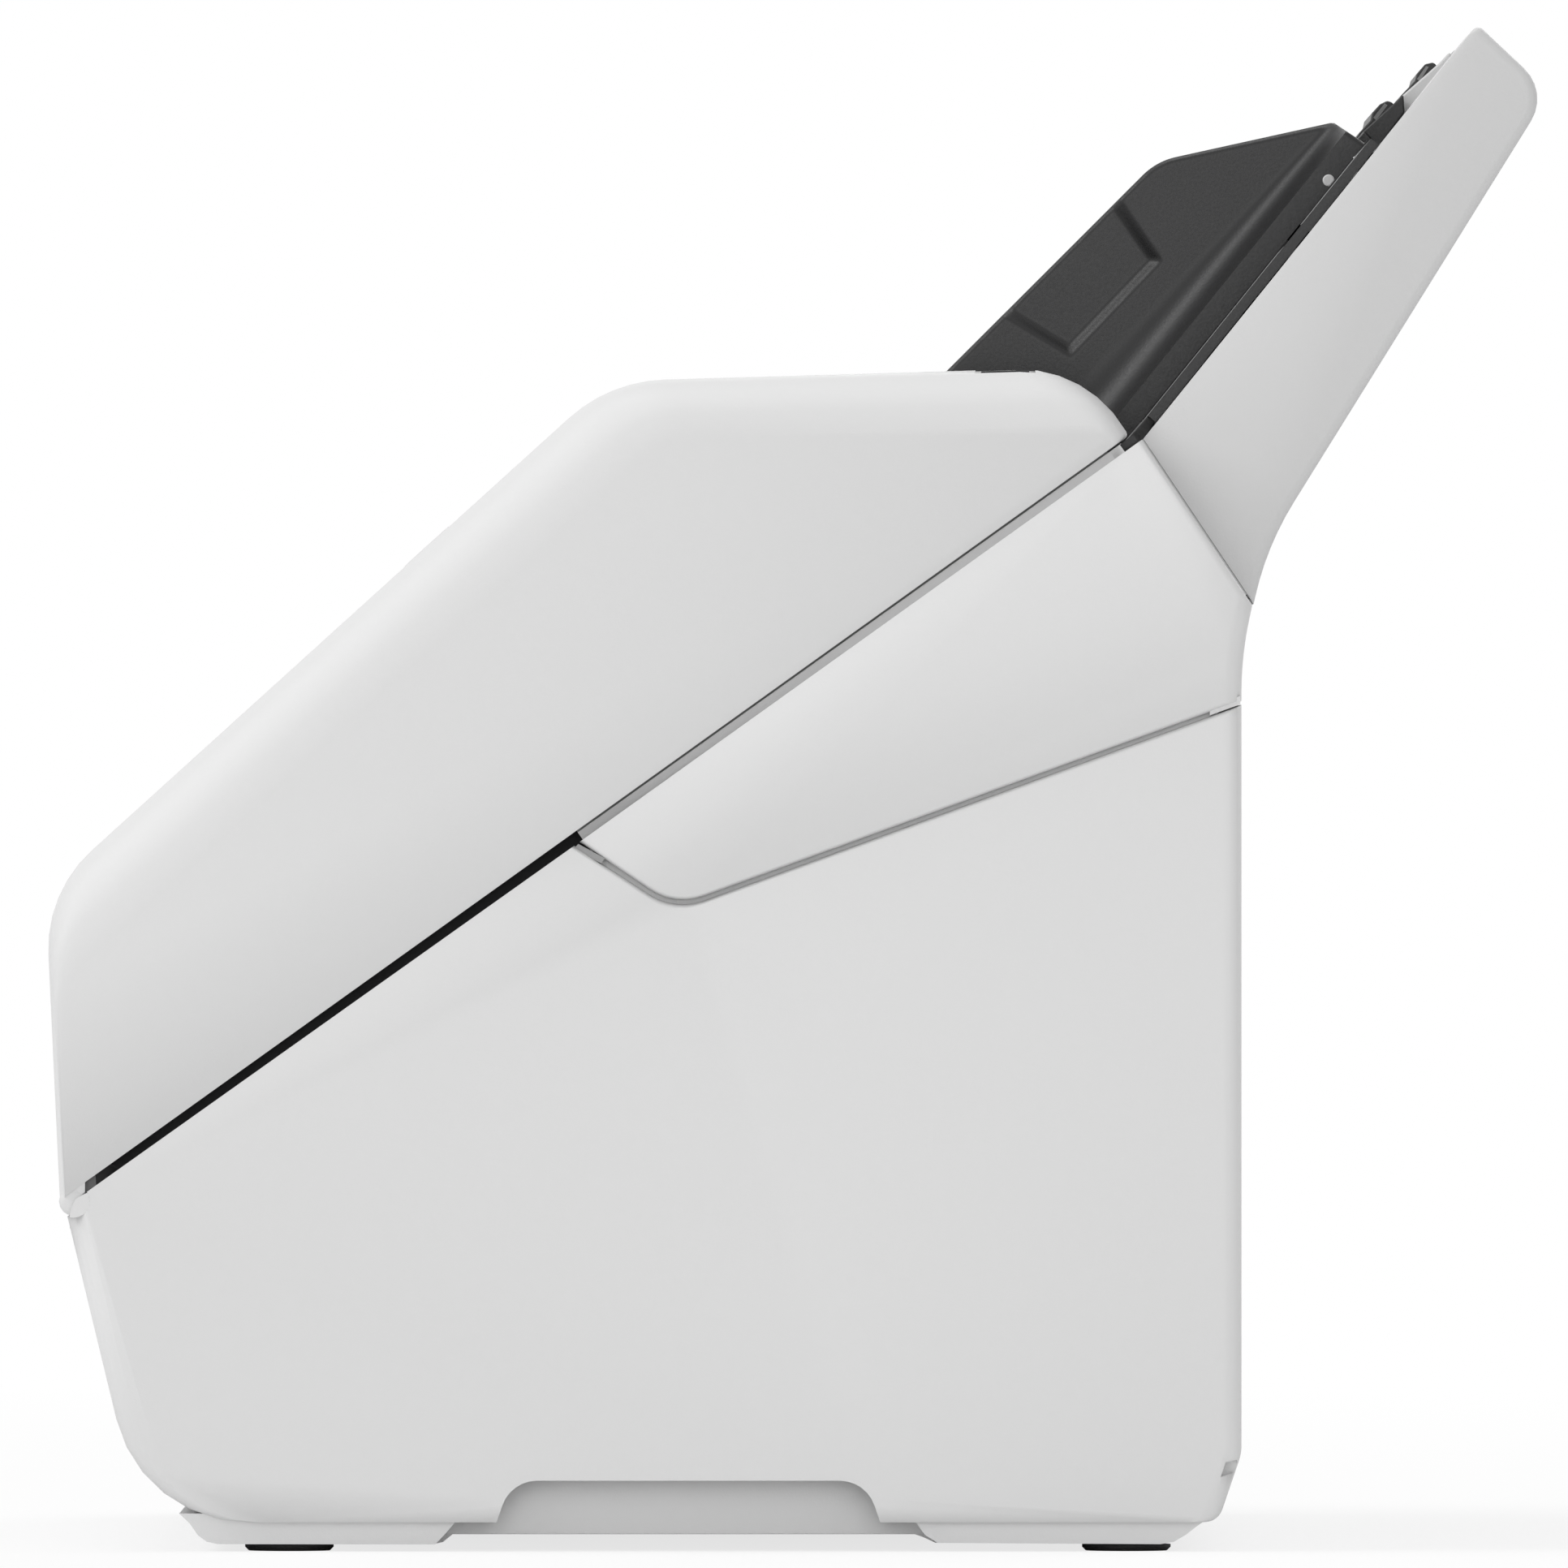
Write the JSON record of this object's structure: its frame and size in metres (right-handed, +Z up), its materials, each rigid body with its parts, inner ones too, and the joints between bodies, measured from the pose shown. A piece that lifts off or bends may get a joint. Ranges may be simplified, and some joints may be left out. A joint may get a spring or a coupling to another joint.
{
  "type": "sheet-fed document scanner",
  "caption": "Desktop sheet-fed scanner with a sloping front, an upright paper tray at the back, sliding side guides and a hatch that tips forward over the paper path.",
  "frame": {"origin": "on the desk, under the middle of the whole object's box", "axes": "+X to the scanner's right as seen from behind, -Y towards the front where the paper comes out, +Z up"},
  "size_m": [0.31, 0.2436, 0.2492],
  "materials": {
    "case": "fine matte texture, very light grey",
    "tray": "fine matte texture, light grey",
    "dark": "satin charcoal",
    "inner": "matte near black",
    "gear": "natural acetal, smooth",
    "rubber": "matte black rubber",
    "belt": "matte black belt rubber",
    "steel": "ground steel",
    "bar_glass": "polished dark glass, opaque from outside",
    "board": "green lacquered circuit board"
  },
  "bodies": {
    "base": {"base_frame": "inner", "bottom_pan": "case", "dc_socket": "inner", "drive_belt": "belt", "foot_front_left": "rubber", "foot_front_right": "rubber", "foot_rear_left": "rubber", "foot_rear_right": "rubber", "hinge_pin_left": "steel", "hinge_pin_right": "steel", "input_tray": "tray", "lower_scan_bar": "inner", "lower_scan_glass": "bar_glass", "main_board": "board", "main_case": "case", "motor": "steel", "rear_upper_cover": "case", "tray_bed": "dark", "usb_socket": "inner"},
    "hatch": {"hatch_cover": "case", "hatch_guide": "inner", "upper_scan_bar": "inner", "upper_scan_glass": "bar_glass", "panel_bezel": "dark", "display": "bar_glass"},
    "pick_roller": {"pick_shaft": "steel", "pick_tyre": "rubber", "pick_pulley": "gear"},
    "feed_roller": {"feed_shaft": "steel", "feed_tyre_left": "rubber", "feed_tyre_right": "rubber", "feed_gear": "gear", "feed_pulley": "gear"},
    "exit_roller": {"exit_shaft": "steel", "exit_tyre_left": "rubber", "exit_tyre_right": "rubber", "exit_pulley": "gear"},
    "idler": {"idler_gear": "gear"},
    "motor_drive": {"motor_pinion": "gear"},
    "left_guide": {"guide_left": "dark"},
    "right_guide": {"guide_right": "dark"},
    "pinion": {"guide_pinion": "gear"},
    "lower_extension": {"extension_lower": "tray", "grip_lower": "dark"},
    "upper_extension": {"extension_upper": "tray", "grip_upper": "dark"},
    "exit_tray": {"output_tray": "dark"},
    "exit_stop": {"output_stop": "case"},
    "separator": {"separation_axle": "steel", "separation_roller": "rubber"},
    "feed_pinch": {"feed_pinch_roller": "inner"},
    "exit_pinch": {"exit_pinch_roller": "inner"},
    "scan_key": {"scan_button": "case"},
    "power_key": {"power_button": "case"},
    "catch": {"hatch_catch": "dark"}
  },
  "joints": [
    {"name": "hatch_open", "type": "hinge", "parent": "base", "child": "hatch", "pos_m": [0, -0.11753, 0.05721], "axis": [1, 0, 0], "range_deg": [0, 70]},
    {"name": "feed_spin", "type": "hinge", "parent": "base", "child": "feed_roller", "pos_m": [0, 0.00289, 0.1297], "axis": [1, 0, 0], "continuous": true},
    {"name": "pick_spin", "type": "hinge", "parent": "base", "child": "pick_roller", "pos_m": [0, 0.03661, 0.15137], "axis": [1, 0, 0], "continuous": true},
    {"name": "exit_spin", "type": "hinge", "parent": "base", "child": "exit_roller", "pos_m": [0, -0.07523, 0.07566], "axis": [1, 0, 0], "continuous": true},
    {"name": "idler_spin", "type": "hinge", "parent": "base", "child": "idler", "pos_m": [-0.128, 0.00444, 0.11378], "axis": [1, 0, 0], "continuous": true},
    {"name": "motor_spin", "type": "hinge", "parent": "base", "child": "motor_drive", "pos_m": [-0.128, 0.01235, 0.10272], "axis": [1, 0, 0], "continuous": true},
    {"name": "right_guide_slide", "type": "slide", "parent": "base", "child": "right_guide", "axis": [-1, 0, 0], "range_m": [0, 0.083]},
    {"name": "left_guide_slide", "type": "slide", "parent": "base", "child": "left_guide", "axis": [1, 0, 0], "range_m": [0, 0.083]},
    {"name": "guide_pinion_spin", "type": "hinge", "parent": "base", "child": "pinion", "pos_m": [0, 0.07693, 0.20413], "axis": [0, -0.7791, 0.627], "range_deg": [-2, 531]},
    {"name": "lower_extension_slide", "type": "slide", "parent": "base", "child": "lower_extension", "axis": [0, 0.627, 0.7791], "range_m": [0, 0.06]},
    {"name": "upper_extension_slide", "type": "slide", "parent": "lower_extension", "child": "upper_extension", "axis": [0, 0.627, 0.7791], "range_m": [0, 0.05]},
    {"name": "exit_tray_slide", "type": "slide", "parent": "base", "child": "exit_tray", "axis": [0, -1, 0], "range_m": [0, 0.095]},
    {"name": "exit_stop_fold", "type": "hinge", "parent": "exit_tray", "child": "exit_stop", "pos_m": [0, -0.11092, 0.03044], "axis": [1, 0, 0], "range_deg": [0, 76]},
    {"name": "separation_spin", "type": "hinge", "parent": "hatch", "child": "separator", "pos_m": [0, 0.02247, 0.17113], "axis": [1, 0, 0], "continuous": true},
    {"name": "feed_pinch_spin", "type": "hinge", "parent": "hatch", "child": "feed_pinch", "pos_m": [0, -0.00718, 0.14377], "axis": [1, 0, 0], "continuous": true},
    {"name": "exit_pinch_spin", "type": "hinge", "parent": "hatch", "child": "exit_pinch", "pos_m": [0, -0.08384, 0.0877], "axis": [1, 0, 0], "continuous": true},
    {"name": "scan_button_press", "type": "slide", "parent": "hatch", "child": "scan_key", "axis": [0, 0.6714, -0.7411], "range_m": [0, 0.0008], "stiffness_N_per_m": 600, "springref_m": -0.0006},
    {"name": "power_button_press", "type": "slide", "parent": "hatch", "child": "power_key", "axis": [0, 0.6714, -0.7411], "range_m": [0, 0.0008], "stiffness_N_per_m": 600, "springref_m": -0.0006},
    {"name": "catch_swing", "type": "hinge", "parent": "hatch", "child": "catch", "pos_m": [0.139, 0.03967, 0.18442], "axis": [1, 0, 0], "range_deg": [0, 7], "stiffness_Nm_per_rad": 0.05, "springref_deg": -8.59}
  ],
  "couplings": [
    {"joint": "pick_spin", "follows": "feed_spin", "ratio": 1},
    {"joint": "exit_spin", "follows": "feed_spin", "ratio": 1},
    {"joint": "idler_spin", "follows": "feed_spin", "ratio": -0.66667},
    {"joint": "motor_spin", "follows": "feed_spin", "ratio": 1.6},
    {"joint": "left_guide_slide", "follows": "right_guide_slide", "ratio": 1},
    {"joint": "guide_pinion_spin", "follows": "right_guide_slide", "rad_per_m": 111.11}
  ]
}
